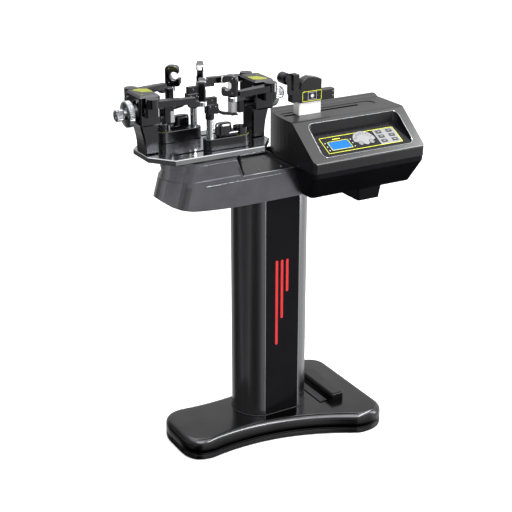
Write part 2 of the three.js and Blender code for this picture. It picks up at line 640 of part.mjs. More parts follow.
// One end of the racket mounting, drawn for the +X end; the other end is turned half round.
function makeEnd(side, name) {
  const end = new THREE.Group();
  if (side < 0) end.rotation.z = Math.PI;
  table.add(end);

  const silhouette = new THREE.Shape();
  silhouette.moveTo(139, TABLE_TOP + GAP);
  silhouette.lineTo(178, TABLE_TOP + GAP);
  silhouette.quadraticCurveTo(178, 930, 186, 955);
  silhouette.quadraticCurveTo(190, HEAD.bottom, HEAD.outer, HEAD.bottom + 14);
  silhouette.lineTo(HEAD.outer, HEAD.bottom + 20);
  silhouette.lineTo(139, HEAD.bottom + 20);
  const neck = prism(silhouette, 'y', -28, 28, { bevel: 4, steps: 1, curve: 5 });
  const headBlock = prism(
    roundedRect(HEAD.inner, -HEAD.halfWidth, HEAD.outer, HEAD.halfWidth, 6),
    'z',
    HEAD.bottom,
    HEAD.top,
    { bevel: 5, steps: 1, curve: 2 },
  );
  const bothSides = (make) => [make(-1), make(1)];
  const ears = bothSides((hand) => {
    const outline = roundedRect(152, Math.min(hand * 40, hand * 70), 192, Math.max(hand * 40, hand * 70), 8);
    return prism(outline, 'z', 1004, EAR_TOP, { curve: 3 });
  });
  const clearance = bothSides((hand) => round('z', 19, ARM_PIVOT.x, hand * ARM_PIVOT.y, EAR_TOP, 1070, 24));
  const armPins = bothSides((hand) => round('z', 5, ARM_PIVOT.x, hand * ARM_PIVOT.y, EAR_TOP - 2, 1044, 14));
  const screwBore = round('x', 8.3, 0, SCREW_Z, 100, 210, 16);
  const rodBores = bothSides((hand) => round('x', 4.4, hand * GUIDE_ROD_Y, GUIDE_ROD_Z, 100, 192, 12));
  const body = cut(union(neck, headBlock, ...ears), ...clearance);
  place(`post_${name}`, cut(union(body, ...armPins), screwBore, ...rodBores), 'gloss', end);

  place(`knob_${name}`, knob(), 'steel', end);
  place(`centre_mount_${name}`, centreMount(), 'black', end);
}

// A screw, its collar in the post, a flange, the wide grip and a smaller grip behind it.
function knob() {
  const face = HEAD.outer + 0.5;
  const screw = [[0, 108], [6, 108], [6, 137], [8, 137], [8, face]];
  const grip = [[24, face], [24, 203], [33, 203], [34.6, 205], [34.6, 219], [32, 221]];
  const tail = [[16, 221], [16, 246], [14, 248], [0, 248]];
  return turned([...screw, ...grip, ...tail], 'x', 0, SCREW_Z, 24);
}

// The support for the racket's tip or throat: a carrier on two guide rods with a tall nose.
function centreMount() {
  const carrier = prism(roundedRect(100, -22, 118, 22, 3), 'z', 968, 1018, { curve: 2 });
  const nose = prism(roundedRect(84, -11, 102, 11, 6), 'z', 958, 1058, { bevel: 3, steps: 1, curve: 2 });
  const rods = [-1, 1].map((hand) => round('x', 4, hand * GUIDE_ROD_Y, GUIDE_ROD_Z, 110, 172, 10));
  const screwBore = round('x', 6.4, 0, SCREW_Z, 88, 140, 20);
  return cut(union(carrier, nose, ...rods), screwBore);
}

// ---------------------------------------------------------------- side arms and hooks
function sideArm() {
  const dx = HOOK_PIVOT.x - ARM_PIVOT.x;
  const dy = HOOK_PIVOT.y - ARM_PIVOT.y;
  const length = Math.hypot(dx, dy);
  const heading = Math.atan2(dy, dx);
  const lug = length - 19;
  const bar = union(
    round('z', 17, 0, 0, SIDE_ARM_BOTTOM, SIDE_ARM_TOP, 24),
    prism(polygon([[0, -13], [lug, -8], [lug, 8], [0, 13]]), 'z', SIDE_ARM_BAR.bottom, SIDE_ARM_BAR.top),
    prism(polygon([[lug - 18, -8], [length, -8], [length, 8], [lug - 18, 8]]), 'z', 1022, HOOK_BOTTOM - GAP),
    round('z', 11, length, 0, 1022, HOOK_BOTTOM - GAP, 20),
  );
  const bores = [round('z', 5.4, 0, 0, 1000, 1044.4, 16), round('z', 4.4, length, 0, 1000, 1060, 16)];
  const turn = new THREE.Matrix4().makeRotationZ(heading).setPosition(ARM_PIVOT.x, ARM_PIVOT.y, 0);
  return cut(bar, ...bores).transform(turn.elements);
}

// A C-shaped hook in an upright plane. Its back stands on the pin, and its mouth faces +X.
function hook() {
  const [w, h] = [HOOK_WIDTH, HOOK_HEIGHT];
  const back = -14;
  const outline = new THREE.Shape();
  outline.moveTo(back + 6, 0);
  outline.lineTo(back + w - 10, 0);
  outline.quadraticCurveTo(back + w - 2, 0, back + w - 2, 10);
  outline.lineTo(back + w - 2, h * 0.4);
  outline.absarc(back + 25, h * 0.5, 11, -0.5, 0.5, true);
  outline.lineTo(back + w - 4, h * 0.74);
  outline.quadraticCurveTo(back + w - 6, h, back + w - 22, h);
  outline.lineTo(back + 14, h);
  outline.quadraticCurveTo(back, h, back, h - 16);
  outline.lineTo(back, 6);
  outline.quadraticCurveTo(back, 0, back + 6, 0);
  const body = prism(outline, 'y', -HOOK_THICKNESS / 2, HOOK_THICKNESS / 2, { bevel: 2, steps: 1, curve: 5 });
  const pin = round('z', 4, 0, 0, -13, 4, 14);
  return union(body, pin);
}

function makeSideArms() {
  const corners = [
    { name: 'front_left', x: -1, y: -1, mouth: 60 },
    { name: 'rear_left', x: -1, y: 1, mouth: -45 },
    { name: 'front_right', x: 1, y: -1, mouth: 135 },
    { name: 'rear_right', x: 1, y: 1, mouth: -120 },
  ];
  for (const corner of corners) {
    const flip = sideArm().scale([corner.x, corner.y, 1]);
    place(`side_arm_${corner.name}`, flip, 'black', table);
    const mesh = place(`hook_${corner.name}`, hook(), 'gloss', table);
    mesh.position.set(corner.x * HOOK_PIVOT.x, corner.y * HOOK_PIVOT.y, HOOK_BOTTOM);
    mesh.rotation.z = THREE.MathUtils.degToRad(corner.mouth);
  }
}

// ---------------------------------------------------------------- string clamps
function stadium(x0, r0, x1, r1, y) {
  const shape = new THREE.Shape();
  shape.absarc(x1, y, r1, -Math.PI / 2, Math.PI / 2);
  shape.absarc(x0, y, r0, Math.PI / 2, Math.PI * 1.5);
  return shape;
}

// One string clamp, drawn on the rear slot; the other is turned half round onto the front slot.
function makeClamp(side, name) {
  const group = new THREE.Group();
  if (side < 0) group.rotation.z = Math.PI;
  table.add(group);
  const y = SLOT_Y;
  const [lockX, shaftX] = [CLAMP_LOCK_X, CLAMP_SHAFT_X];

  const basePlan = stadium(lockX, 22, shaftX, 19, y);
  const base = cut(
    union(
      prism(basePlan, 'z', TABLE_TOP + GAP, CLAMP_BASE_TOP, { bevel: 1.5, steps: 1, curve: 7 }),
      block(lockX + 6, shaftX, y - 3.6, y + 3.6, 881, TABLE_TOP + 3),
    ),
    round('z', CLAMP_SHAFT_RADIUS + GAP, shaftX, y, TABLE_TOP + 3, 960),
  );
  place(`clamp_base_${name}`, base, 'black', group);

  const leverFloor = CLAMP_BASE_TOP + GAP;
  const lever = union(
    round('z', 20, lockX, y, leverFloor, 945, 24),
    prism(roundedRect(lockX, y - 14, lockX + 58, y + 14, 10), 'z', leverFloor, 937, { bevel: 3, curve: 3 }),
    prism(stadium(lockX + 42, 14, lockX + 60, 14, y), 'z', leverFloor, 961, { bevel: 6, curve: 5 }),
  );
  place(`lock_lever_${name}`, lever, 'gloss', group);

  place(`clamp_shaft_${name}`, clampShaft(shaftX, y), 'chrome', group);
  place(`clamp_head_${name}`, clampHead(shaftX, y), 'black', group);
  place(`clamp_lever_${name}`, clampLever(shaftX, y), 'black', group);
}

function clampShaft(x, y) {
  const r = CLAMP_SHAFT_RADIUS;
  return turned(
    [[0, TABLE_TOP + 4], [r, TABLE_TOP + 4], [r, 975], [6, 976], [6, CLAMP_SHAFT_TOP], [0, CLAMP_SHAFT_TOP]],
    'z',
    x,
    y,
    24,
  );
}

function clampHead(x, y) {
  const hub = round('z', 12, x, y, 976 + GAP, 994, 20);
  const bodyPlan = roundedRect(x - 22, y - 11, x + 12, y + 11, 4);
  const body = prism(bodyPlan, 'z', 990, 1016, { bevel: 2, steps: 1, curve: 2 });
  const jaws = cut(
    block(x - 18, x + 12, y - 7, y + 7, 1014, 1033),
    block(x - 20, x + 20, y - 1.5, y + 1.5, 1012, 1040),
  );
  const bore = round('z', 6.3, x, y, 970, CLAMP_SHAFT_TOP + GAP, 18);
  const leverSeat = block(x - 40, x - 9, y - 7, y + 7, 970, 1005);
  const pin = round('y', 3, x - 18, 996, y - 10, y + 10, 14);
  return union(cut(union(hub, body, jaws), bore, leverSeat), pin);
}

// A cranked cam lever that hangs on the pin across the head and reaches out along -X.
function clampLever(x, y) {
  const side = new THREE.Shape();
  side.moveTo(x - 18, 1001);
  side.lineTo(x - 24, 1000);
  side.quadraticCurveTo(x - 28, 994, x - 40, 990);
  side.lineTo(x - 80, 981);
  side.lineTo(x - 80, 976);
  side.lineTo(x - 36, 983);
  side.lineTo(x - 20, 991);
  const arm = prism(side, 'y', y - 6, y + 6, { curve: 3 });
  const eye = round('y', 8, x - 18, 996, y - 6, y + 6, 20);
  return cut(union(arm, eye), round('y', 3.3, x - 18, 996, y - 20, y + 20, 14));
}

makeFoot();
makeColumn();
makeArm();
place('box_lower_body', boxLower(), 'black');
place('box_top_cover', boxUpper(), 'graphite');
makePowerInlet();
makeInternals();
makePanel();
makeTensionHead();
makeTablePlate();
makeEnd(1, 'right');
makeEnd(-1, 'left');
makeSideArms();
makeClamp(1, 'left');
makeClamp(-1, 'right');

export default machine;
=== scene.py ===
"""Looks for a floor-standing racket stringing machine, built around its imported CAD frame."""

import math

import bmesh
import bpy
from mathutils import Matrix, Vector


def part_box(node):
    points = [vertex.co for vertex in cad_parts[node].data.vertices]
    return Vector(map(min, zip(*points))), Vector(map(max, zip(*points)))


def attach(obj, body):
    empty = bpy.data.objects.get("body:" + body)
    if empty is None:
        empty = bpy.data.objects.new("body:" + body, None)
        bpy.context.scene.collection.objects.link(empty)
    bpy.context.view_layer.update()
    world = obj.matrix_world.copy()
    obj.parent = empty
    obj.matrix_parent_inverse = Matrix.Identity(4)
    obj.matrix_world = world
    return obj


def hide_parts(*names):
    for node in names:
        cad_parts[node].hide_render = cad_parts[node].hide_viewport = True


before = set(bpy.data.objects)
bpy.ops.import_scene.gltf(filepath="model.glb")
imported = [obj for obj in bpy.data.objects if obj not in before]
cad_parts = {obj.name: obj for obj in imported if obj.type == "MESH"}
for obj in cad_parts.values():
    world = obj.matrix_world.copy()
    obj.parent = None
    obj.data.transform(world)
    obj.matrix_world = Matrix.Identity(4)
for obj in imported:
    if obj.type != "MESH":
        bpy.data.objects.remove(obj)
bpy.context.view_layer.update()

MM = 0.001
X, Y, Z = Vector((1, 0, 0)), Vector((0, 1, 0)), Vector((0, 0, 1))
ACCENT = (0.24, 0.25, 0.006)
CREASE = math.radians(32)  # edges that turn more than this stay sharp in the shading
BEVEL_FROM = math.radians(35)  # edges that turn more than this are rounded
PRINT = 0.25 * MM  # height of a printed area or line


# ------------------------------------------------------------------ materials
def link(tree, source, target):
    tree.links.new(source, target)


def noise(tree, mapping, scale, detail):
    made = tree.nodes.new("ShaderNodeTexNoise")
    made.inputs["Scale"].default_value = scale
    made.inputs["Detail"].default_value = detail
    link(tree, mapping.outputs["Vector"], made.inputs["Vector"])
    return made.outputs["Fac"]


def material(name, colour, rough, metallic=0.0, coat=0.0, grain=900.0, bump=0.04, vary=0.12,
             stretch=(1, 1, 1), specular=0.5):
    """A surface whose colour drifts slowly, with a fine grain in its gloss and relief."""
    made = bpy.data.materials.new(name)
    made.use_nodes = True
    tree = made.node_tree
    shader = tree.nodes["Principled BSDF"]
    shader.inputs["Metallic"].default_value = metallic
    shader.inputs["Coat Weight"].default_value = coat
    shader.inputs["Specular IOR Level"].default_value = specular
    shader.inputs["Coat Roughness"].default_value = 0.06
    place = tree.nodes.new("ShaderNodeTexCoord")
    mapping = tree.nodes.new("ShaderNodeMapping")
    mapping.inputs["Scale"].default_value = stretch
    link(tree, place.outputs["Object"], mapping.inputs["Vector"])
    drift = noise(tree, mapping, scale=14, detail=5)
    fine = noise(tree, mapping, scale=grain, detail=3)

    ramp = tree.nodes.new("ShaderNodeValToRGB")
    low, high = ramp.color_ramp.elements
    low.position, high.position = 0.3, 0.7
    low.color = (*[c * (1 - vary) for c in colour], 1)
    high.color = (*[min(1, c * (1 + vary)) for c in colour], 1)
    link(tree, drift, ramp.inputs["Fac"])
    link(tree, ramp.outputs["Color"], shader.inputs["Base Color"])

    gloss = tree.nodes.new("ShaderNodeMapRange")
    gloss.inputs["To Min"].default_value = max(0.02, rough * 0.8)
    gloss.inputs["To Max"].default_value = min(1, rough * 1.25)
    link(tree, fine, gloss.inputs["Value"])
    link(tree, gloss.outputs["Result"], shader.inputs["Roughness"])

    relief = tree.nodes.new("ShaderNodeBump")
    relief.inputs["Strength"].default_value = bump
    relief.inputs["Distance"].default_value = 0.4 * MM
    link(tree, fine, relief.inputs["Height"])
    link(tree, relief.outputs["Normal"], shader.inputs["Normal"])
    return made


def metal(name, colour, rough, grain, bump, vary=0.12, stretch=(1, 1, 1)):
    return material(name, colour, rough, metallic=1.0, grain=grain, bump=bump, vary=vary, stretch=stretch)


def pale_plastic(name, colour, rough, coat):
    return material(name, colour, rough, coat=coat, grain=1500, bump=0.05, vary=0.03)


def ink(name, colour, rough, vary):
    return material(name, colour, rough, grain=1200, bump=0.02, vary=vary)


def lit(name, colour, strength):
    """A lit surface, such as a display."""
    made = material(name, [0.1 * c for c in colour], 0.2, vary=0.05, bump=0.0, specular=0.1)
    shader = made.node_tree.nodes["Principled BSDF"]
    shader.inputs["Emission Color"].default_value = (*colour, 1)
    shader.inputs["Emission Strength"].default_value = strength
    return made


FINISH = {
    "casting": metal("foot_enamel", (0.055, 0.055, 0.057), 0.17, 700, 0.02),
    "column": metal("anodised_column", (0.2, 0.2, 0.21), 0.24, 500, 0.03, 0.1, (30, 30, 0.6)),
    "gloss": material("gloss_black", (0.003, 0.003, 0.004), 0.12, grain=300, bump=0.01, specular=0.12),
    "deck": material("deck_black", (0.004, 0.004, 0.005), 0.25, grain=1500, bump=0.04, specular=0.35),
    "arm": metal("arm_paint", (0.22, 0.22, 0.24), 0.24, 1100, 0.012),
    "box": material("box_moulding", (0.0035, 0.0034, 0.0042), 0.3, grain=2200, bump=0.06, specular=0.55),
    "under": material("black_moulding", (0.002, 0.002, 0.003), 0.4, grain=2200, bump=0.1, specular=0.08),
    "steel": metal("polished_steel", (0.55, 0.56, 0.59), 0.17, 260, 0.05, 0.06, (1, 40, 1)),
    "knurl": metal("knurled_steel", (0.36, 0.365, 0.38), 0.18, 1500, 0.05, 0.06),
    "chrome": metal("hard_chrome", (0.85, 0.86, 0.89), 0.06, 500, 0.01, 0.03),
    "mirror": metal("table_steel", (0.42, 0.425, 0.44), 0.12, 420, 0.02, 0.08, (1, 12, 1)),
    "post": metal("post_lacquer", (0.085, 0.085, 0.092), 0.12, 400, 0.012),
    "black": metal("satin_black", (0.06, 0.06, 0.065), 0.24, 1300, 0.04),
    "rubber": material("rubber", (0.006, 0.006, 0.007), 0.7, grain=1800, bump=0.3),
    "white": pale_plastic("white_moulding", (0.75, 0.745, 0.735), 0.3, 0.15),
    "sleeve": pale_plastic("sleeve_moulding", (0.3, 0.3, 0.31), 0.28, 0.2),
    # Painted highlight: pale metal for the fine beads that stand in for the light on rounded edges of the
    # column panels, the arm and the panel recess.
    "painted_highlight": metal("bright_painted_highlight", (0.5, 0.51, 0.53), 0.2, 700, 0.03, 0.05),
    "accent": ink("accent_print", ACCENT, 0.4, 0.06),
    # Painted light: the accent yellow made 2.2 times lighter, a lit copy of the same print for the panel
    # and tension-head lines.
    "bright": ink("painted_light_accent_line", [2.2 * c for c in ACCENT], 0.4, 0.06),
    "ink": ink("pale_print", (0.4, 0.41, 0.42), 0.4, 0.05),
    "dial": material("dial_paint", (0.17, 0.173, 0.178), 0.3, coat=0.1, grain=1200, bump=0.03, vary=0.05),
    "plate": material("keypad_plate", (0.16, 0.163, 0.167), 0.4, grain=1200, bump=0.04, vary=0.05),
    "key": material("soft_key", (0.012, 0.012, 0.015), 0.45, grain=1700, bump=0.12),
    "red": ink("red_print", (0.4, 0.004, 0.006), 0.35, 0.05),
    "board": material("board", (0.01, 0.12, 0.04), 0.4, coat=0.3, grain=900, bump=0.05),
    "screen": lit("display", (0.008, 0.24, 0.95), 0.95),
}


# ------------------------------------------------------------------ shading and mesh builders
def shading_group():
    """Smooth faces with creases kept where two faces meet at more than the crease angle."""
    tree = bpy.data.node_groups.new("soft_shading", "GeometryNodeTree")
    tree.interface.new_socket("Geometry", in_out="INPUT", socket_type="NodeSocketGeometry")
    tree.interface.new_socket("Geometry", in_out="OUTPUT", socket_type="NodeSocketGeometry")
    entry, leave = tree.nodes.new("NodeGroupInput"), tree.nodes.new("NodeGroupOutput")
    faces = tree.nodes.new("GeometryNodeSetShadeSmooth")
    edges = tree.nodes.new("GeometryNodeSetShadeSmooth")
    edges.domain = "EDGE"
    edges.inputs["Shade Smooth"].default_value = False
    angle = tree.nodes.new("GeometryNodeInputMeshEdgeAngle")
    sharp = tree.nodes.new("FunctionNodeCompare")
    sharp.inputs["B"].default_value = CREASE
    link(tree, angle.outputs["Unsigned Angle"], sharp.inputs["A"])
    link(tree, entry.outputs[0], faces.inputs["Geometry"])
    link(tree, faces.outputs[0], edges.inputs["Geometry"])
    link(tree, sharp.outputs[0], edges.inputs["Selection"])
    link(tree, edges.outputs[0], leave.inputs[0])
    return tree


SOFT_SHADING = shading_group()


def soften(piece, width=0.0, segments=2):
    """Rounds the piece's edges where a width is given, and smooths its shading."""
    if width:
        rounding = piece.modifiers.new("rounding", "BEVEL")
        rounding.width = width
        rounding.segments = segments
        rounding.limit_method = "ANGLE"
        rounding.angle_limit = BEVEL_FROM
        rounding.use_clamp_overlap = True
    shade = piece.modifiers.new("shading", "NODES")
    shade.node_group = SOFT_SHADING


def piece_from(name, bm, look, body, rounding=0.0, segments=2):
    """Turns the drawn faces into a named piece with a finish, riding on a body of the frame."""
    bmesh.ops.recalc_face_normals(bm, faces=bm.faces)
    mesh = bpy.data.meshes.new(name)
    bm.to_mesh(mesh)
    bm.free()
    made = bpy.data.objects.new(name, mesh)
    bpy.context.scene.collection.objects.link(made)
    mesh.materials.append(FINISH[look])
    soften(made, rounding, segments)
    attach(made, body)
    return made


def basis(origin, across, up):
    """The matrix that puts local x along across, local y along up, and z out of them."""
    across, up = Vector(across).normalized(), Vector(up).normalized()
    out = across.cross(up)
    turn = Matrix((across, up, out)).transposed().to_4x4()
    return Matrix.Translation(Vector(origin)) @ turn


def add_skin(bm, rings, loop=False):
    """Joins rings of equally many points, in a row or round in a loop."""
    layers = [[bm.verts.new(p) for p in ring] for ring in rings]
    count = len(layers[0])
    following = layers[1:] + layers[:1] if loop else layers[1:]
    for low, high in zip(layers, following):
        for i in range(count):
            k = (i + 1) % count
            bm.faces.new((low[i], low[k], high[k], high[i]))
    return layers


def add_loft(bm, rings):
    """A closed skin over a row of rings, with a face on each end ring."""
    layers = add_skin(bm, rings)
    bm.faces.new(layers[0][::-1])
    bm.faces.new(layers[-1])


def add_plate(bm, outline, place, thick):
    """A flat plate: a closed outline in local x, y, raised along local z."""
    rings = [[place @ Vector((x, y, z)) for x, y in outline] for z in (0, thick)]
    add_loft(bm, rings)


def add_turned(bm, profile, place, segments=48, teeth=0, depth=0.0, toothed=()):
    """A body of revolution about local z; rings listed in toothed are cut into teeth."""
    rings = []
    for index, (radius, height) in enumerate(profile):
        ring = []
        for i in range(segments):
            turn = 2 * math.pi * i / segments
            r = radius
            if index in toothed:
                r -= depth * (0.5 - 0.5 * math.cos(turn * teeth))
            ring.append(place @ Vector((r * math.cos(turn), r * math.sin(turn), height)))
        rings.append(ring)
    add_loft(bm, rings)


def rounded(x0, y0, x1, y1, radius, steps=5):
    """A rounded rectangle as a list of points."""
    points = []
    corners = [(x1 - radius, y0 + radius, -90), (x1 - radius, y1 - radius, 0),
               (x0 + radius, y1 - radius, 90), (x0 + radius, y0 + radius, 180)]
    for cx, cy, start in corners:
        for i in range(steps + 1):
            turn = math.radians(start + 90 * i / steps)
            points.append((cx + radius * math.cos(turn), cy + radius * math.sin(turn)))
    return points


def rect(x0, y0, x1, y1, radius):
    """A rounded rectangle given in mm."""
    return rounded(x0 * MM, y0 * MM, x1 * MM, y1 * MM, radius * MM)


def circle(cx, cy, radius, steps=32):
    turns = [2 * math.pi * i / steps for i in range(steps)]
    return [(cx + radius * math.cos(t), cy + radius * math.sin(t)) for t in turns]


def mirrored(half):
    """An outline from one half of it, mirrored in y = 0."""
    return half + [(x, -y) for x, y in reversed(half)]


def add_frame(bm, outer, inner, place, thick):
    """A flat ring between two outlines of equal point count."""
    count = len(outer)
    layers = [
        [bm.verts.new(place @ Vector((x, y, z))) for x, y in outline]
        for z in (0, thick)
        for outline in (outer, inner)
    ]
    low_out, low_in, high_out, high_in = layers
    for i in range(count):
        k = (i + 1) % count
        bm.faces.new((low_out[i], low_out[k], high_out[k], high_out[i]))
        bm.faces.new((low_in[k], low_in[i], high_in[i], high_in[k]))
        bm.faces.new((high_out[i], high_out[k], high_in[k], high_in[i]))
        bm.faces.new((low_out[k], low_out[i], low_in[i], low_in[k]))


def square_to(direction):
    """A unit vector square to a direction, and level unless the direction is nearly upright."""
    return direction.cross(Z if abs(direction.z) < 0.9 else X).normalized()


def add_bead(bm, path, radius, sides=8, closed=False):
    """A round bead along a list of points."""
    count = len(path)
    turns = [2 * math.pi * k / sides for k in range(sides)]
    rings = []
    for i, point in enumerate(path):
        if closed:
            ahead, behind = path[(i + 1) % count], path[i - 1]
        else:
            ahead, behind = path[min(i + 1, count - 1)], path[max(i - 1, 0)]
        along = (ahead - behind).normalized()
        side = square_to(along)
        top = side.cross(along)
        rings.append([point + radius * (side * math.cos(t) + top * math.sin(t)) for t in turns])
    if closed:
        add_skin(bm, rings, loop=True)
    else:
        add_loft(bm, rings)


def add_cap_screw(bm, centre, out, radius):
    """A socket-head screw standing on a surface, with its hexagon recess."""
    across = square_to(out)
    place = basis(centre, across, out.cross(across))
    height, socket, sides = radius * 0.7, radius * 0.5, 24
    head = [(radius, 0), (radius, height * 0.8), (radius * 0.88, height)]
    recess = [(socket, height), (socket, height * 0.35)]
    rings = []
    for r, h in head + recess:
        ring = []
        for i in range(sides):
            turn = 2 * math.pi * i / sides
            wedge = (turn % (math.pi / 3)) - math.pi / 6
            reach = r if r != socket else r * math.cos(math.pi / 6) / math.cos(wedge)
            ring.append(place @ Vector((reach * math.cos(turn), reach * math.sin(turn), h)))
        rings.append(ring)
    add_loft(bm, rings)


def screws(name, centres, out, radius, look, body):
    bm = bmesh.new()
    for centre in centres:
        add_cap_screw(bm, centre, out, radius)
    return piece_from(name, bm, look, body)


def centre_of(node):
    low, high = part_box(node)
    return (low + high) / 2


# ------------------------------------------------------------------ foot
def bezier(p0, p1, p2, p3, steps):
    """Points along a cubic curve, without its last one."""
    for i in range(steps):
        t = i / steps
        s = 1 - t
        yield tuple(
            s**3 * a + 3 * s * s * t * b + 3 * s * t * t * c + t**3 * d
            for a, b, c, d in zip(p0, p1, p2, p3)
        )


def foot_outline():
    """The foot's plan as in the frame, but in finer steps: one half and its mirror."""
    low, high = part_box("base_shell")
    axis_y = (low.y + high.y) / 2
    half = [
        ((-318, -28), (-318, -84), (-296, -108), (-248, -108)),
        ((-248, -108), (-100, -84), (40, -112), (178, -196)),
        ((178, -196), (205, -213), (288, -204), (288, -140)),
    ]
    points = [p for curve in half for p in bezier(*curve, 26)] + [half[-1][-1]]
    return [Vector((x * MM, axis_y + y * MM, 0)) for x, y in mirrored(points)]


def inset(outline, distance):
    """The outline with each point moved inwards, square to the line between its neighbours."""
    count = len(outline)
    moved = []
    for i, point in enumerate(outline):
        along = (outline[(i + 1) % count] - outline[i - 1]).normalized()
        inward = Vector((-along.y, along.x, 0))
        moved.append(point + inward * distance)
    return moved


def foot_profile():
    """The foot's wall from the hollow underneath, over the skirt and groove, to the flat top."""
    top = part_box("tread_inner")[0].z - 0.3 * MM
    shoulder, steps = 20 * MM, 10
    wall = [(9, 8), (9, 2), (1.2, 2), (0, 3.2), (0, 15), (0.8, 16.4), (3.4, 17.4), (3.8, 19),
            (3.4, 20.6), (0.8, 21.6), (0, 23)]
    rings = [(d * MM, h * MM) for d, h in wall]
    for i in range(steps + 1):
        turn = math.radians(90 * i / steps)
        rings.append((shoulder * (1 - math.cos(turn)), top - shoulder * (1 - math.sin(turn))))
    return rings


def make_foot():
    outline = foot_outline()
    bm = bmesh.new()
    add_loft(bm, [[p + Z * h for p in inset(outline, d)] for d, h in foot_profile()])
    foot = piece_from("foot_casting", bm, "casting", "frame")
    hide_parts("base_shell")


def make_rail():
    """The raised rail on the foot, under the outer tread."""
    low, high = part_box("tread_outer")
    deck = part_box("tread_inner")[0].z - 2 * MM
    edge = 3 * MM
    outline = rounded(low.x - edge, low.y - edge, high.x + edge, high.y + edge, 5 * MM)
    bm = bmesh.new()
    add_plate(bm, outline, Matrix.Translation((0, 0, deck)), low.z - 0.3 * MM - deck)
    piece_from("foot_rail", bm, "casting", "frame", 1.2 * MM, 3)


def make_tread_ribs():
    """Low rubber ribs across each tread, let a little into its top."""
    sunk, height, margin = 0.6 * MM, 0.9 * MM, 2 * MM
    for node, ribs in (("tread_outer", 7), ("tread_inner", 4)):
        low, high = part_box(node)
        pitch = (high.x - low.x) / ribs
        bm = bmesh.new()
        for i in range(ribs):
            start = low.x + pitch * (i + 0.12)
            rib = rounded(start, low.y + margin, start + pitch * 0.76, high.y - margin, 1 * MM, 3)
            add_plate(bm, rib, Matrix.Translation((0, 0, high.z - sunk)), height)
        piece_from(f"{node}_ribs", bm, "rubber", "frame")


# ------------------------------------------------------------------ column
def make_column_painted_highlight():
    """A pale metal bead along each edge of the front and rear panels: a painted highlight for the light on
    the panels' rounded edges.
    """
    low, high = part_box("column_tube")
    panel_low, panel_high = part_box("column_front_panel")
    radius, gap = 0.9 * MM, 1 * MM
    for side, name in ((-1, "left"), (1, "right")):
        x = side * (panel_high.x + radius)
        for face, y in (("front", panel_low.y), ("rear", -panel_low.y)):
            bm = bmesh.new()
            add_bead(bm, [Vector((x, y, low.z + gap)), Vector((x, y, high.z - gap))], radius, 10)
            piece_from(f"column_{face}_trim_{name}", bm, "painted_highlight", "frame")


def make_column_bars():
    """Plain red bars on the front panel, in place of the printed mark."""
    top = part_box("column_tube")[1].z - 185 * MM
    place = basis((0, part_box("column_front_panel")[0].y + 0.02 * MM, 0), X, Z)
    left, width, pitch = -22 * MM, 8 * MM, 17 * MM
    bm = bmesh.new()
    for i, length in enumerate((260, 180, 100)):
        x = left + pitch * i
        add_plate(bm, rounded(x, top - length * MM, x + width, top, 3.9 * MM), place, 0.3 * MM)
    piece_from("column_stripes", bm, "red", "frame")


def make_column_gasket():
    """A rubber bead round the column's lower end: two arcs, one about each of its two centres."""
    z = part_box("column_tube")[0].z + 0.6 * MM
    radius, centre_x = 79.8 * MM, 33.6 * MM
    half_arc, steps = 74, 24
    ring = []
    for sign, start in ((1, -half_arc), (-1, 180 - half_arc)):
        for i in range(steps + 1):
            turn = math.radians(start + 2 * half_arc * i / steps)
            ring.append(Vector((sign * centre_x + radius * math.cos(turn), radius * math.sin(turn), z)))
    bm = bmesh.new()
    add_bead(bm, ring, 1.3 * MM, 8, closed=True)
    piece_from("column_gasket", bm, "rubber", "frame")


# ------------------------------------------------------------------ turntable arm
def make_arm_highlight_beads():
    """A bright bead along each side's stepped rim, and a fine bead below it: painted highlights for the
    light on the arm's edges.
    """
    box_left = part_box("box_lower_body")[0].x
    upper, lower, line = 859 * MM, 811 * MM, 800 * MM
    rim = [(-249 * MM, upper), (-149 * MM, upper), (-131 * MM, lower), (box_left, lower)]
    for side, name in ((-1, "front"), (1, "rear")):
        y = side * 83.6 * MM
        bm = bmesh.new()
        add_bead(bm, [Vector((x, y, z)) for x, z in rim], 1.1 * MM, 10)
        piece_from(f"arm_{name}_rim", bm, "painted_highlight", "frame")
        bm = bmesh.new()
        add_bead(bm, [Vector((-240 * MM, y, line)), Vector((box_left, y, line))], 0.6 * MM, 8)
        piece_from(f"arm_{name}_line", bm, "painted_highlight", "frame")


def make_deck_screws():
    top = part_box("arm_deck")[1].z
    spots = [(x * MM, y * MM, top) for x in (-60, 10) for y in (-46, 46)]
    screws("arm_deck_screws", spots, Z, 3 * MM, "knurl", "frame")


# ------------------------------------------------------------------ turntable
TABLE = centre_of("turntable_spindle")
SCREW_AXIS = 1001.7  # height of the knobs' axis, in mm
POST_TOP = 1054
HOOK_X, HOOK_Y = 44, 90  # the hooks' pins, from the table's centre
HOOK_BOTTOM = 1036
SLOT_Y = 62  # the clamps' slots, either side of the table's long axis
LOCK_X = -82  # the clamps' lock bolts, from the table's centre


def on_end(side, x, y, z):
    """A point on one end of the racket mounting; side is 1 for the +X end, -1 for the other."""
    return Vector((TABLE.x + side * x * MM, TABLE.y + side * y * MM, z * MM))


def end_basis(side, x, y, z, across, up):
    return basis(on_end(side, x, y, z), Vector(across) * side, up)


